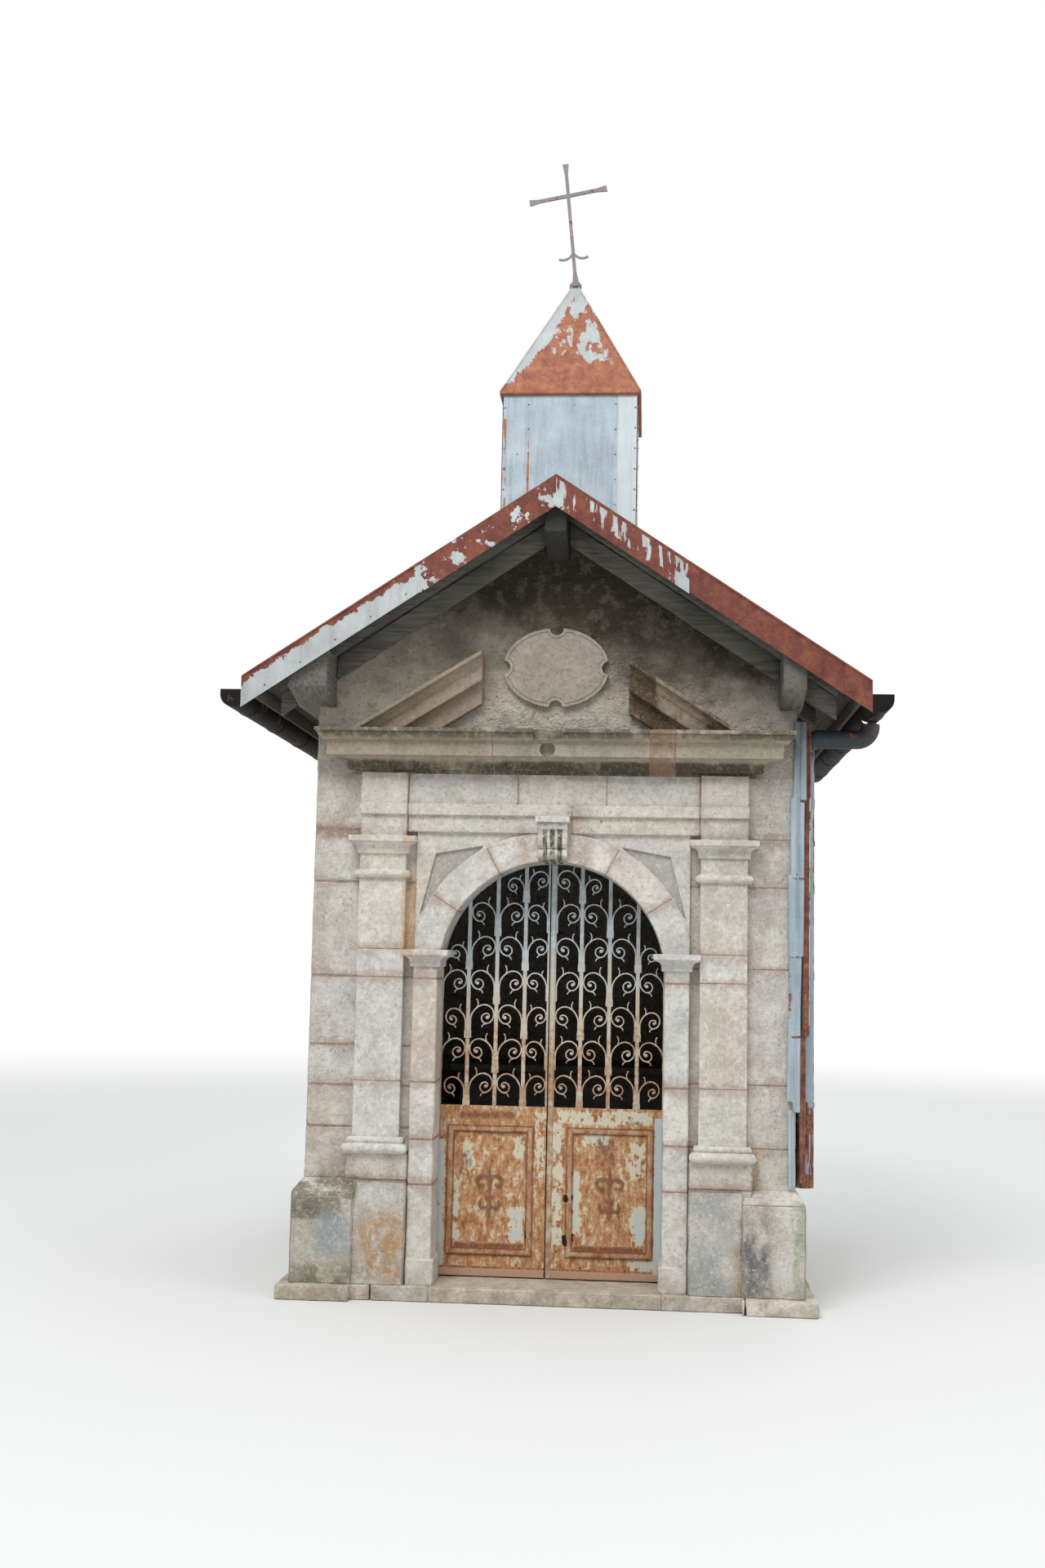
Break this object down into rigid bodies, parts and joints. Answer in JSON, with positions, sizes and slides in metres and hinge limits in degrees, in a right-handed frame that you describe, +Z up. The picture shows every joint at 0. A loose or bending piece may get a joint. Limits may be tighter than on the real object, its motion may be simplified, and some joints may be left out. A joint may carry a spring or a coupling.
{
  "type": "small stone wayside chapel with a double wrought-iron gate",
  "caption": "Small stone chapel with a classical arched front, gabled metal roof, square turret with pyramid roof and cross, and a double scrollwork iron gate.",
  "frame": {"origin": "middle of the body in plan, on the ground plane under the footing", "axes": "+Z up, front with the gate towards -Y, +X to the right of someone who faces the front"},
  "size_m": [3.496, 3.392, 6.8357],
  "materials": {
    "footing": "rough damp stone",
    "floor": "worn slabs",
    "plinth": "dressed limestone with damp stains",
    "ashlar": "bush-hammered limestone",
    "dressing": "smooth dressed limestone",
    "render": "rough weathered render",
    "plaque": "carved stone, bare",
    "beam": "weathered timber",
    "boards": "weathered boards",
    "roof_sheet": "galvanised sheet with rust",
    "verge": "rusted galvanised sheet",
    "gutter": "dark brown weathered metal",
    "downpipe": "galvanised, rusted seams",
    "turret_wall": "galvanised sheet",
    "turret_roof": "rusted sheet",
    "cross": "wrought iron, dull",
    "pintle": "wrought iron",
    "gate_iron": "old pale paint and rust",
    "gate_sheet": "rusted sheet with flaking pale paint",
    "altar": "grey stone"
  },
  "bodies": {
    "building": {"footing": "footing", "threshold": "footing", "floor_slab": "floor", "left_plinth": "plinth", "right_plinth": "plinth", "back_plinth": "plinth", "left_wall": "ashlar", "right_wall": "ashlar", "back_wall": "render", "left_front_pier": "ashlar", "right_front_pier": "ashlar", "wall_over_door": "ashlar", "front_gable": "render", "jambs": "dressing", "imposts": "dressing", "arch_ring": "dressing", "spandrels": "ashlar", "keystone": "dressing", "pedestals": "plinth", "pilasters": "dressing", "capitals": "dressing", "architrave": "ashlar", "frieze": "ashlar", "cornice": "dressing", "raking_mouldings": "render", "plaque": "plaque", "ridge_beam": "beam", "wall_plates": "beam", "left_rafters": "beam", "right_rafters": "beam", "left_boards": "boards", "right_boards": "boards", "left_roof_sheet": "roof_sheet", "right_roof_sheet": "roof_sheet", "ridge_cap": "roof_sheet", "verges": "verge", "gutters": "gutter", "downpipe": "downpipe", "turret_walls": "turret_wall", "turret_roof": "turret_roof", "cross": "cross", "pintles": "pintle", "altar": "altar"},
    "left_leaf": {"left_leaf_ironwork": "gate_iron", "left_leaf_panel": "gate_sheet"},
    "right_leaf": {"right_leaf_ironwork": "gate_iron", "right_leaf_panel": "gate_sheet"}
  },
  "joints": [
    {"name": "left_leaf_hinge", "type": "hinge", "parent": "building", "child": "left_leaf", "pos_m": [-0.64, -1.111, 0.26], "axis": [0, 0, 1], "range_deg": [0, 90]},
    {"name": "right_leaf_hinge", "type": "hinge", "parent": "building", "child": "right_leaf", "pos_m": [0.64, -1.111, 0.26], "axis": [0, 0, -1], "range_deg": [0, 90]}
  ]
}
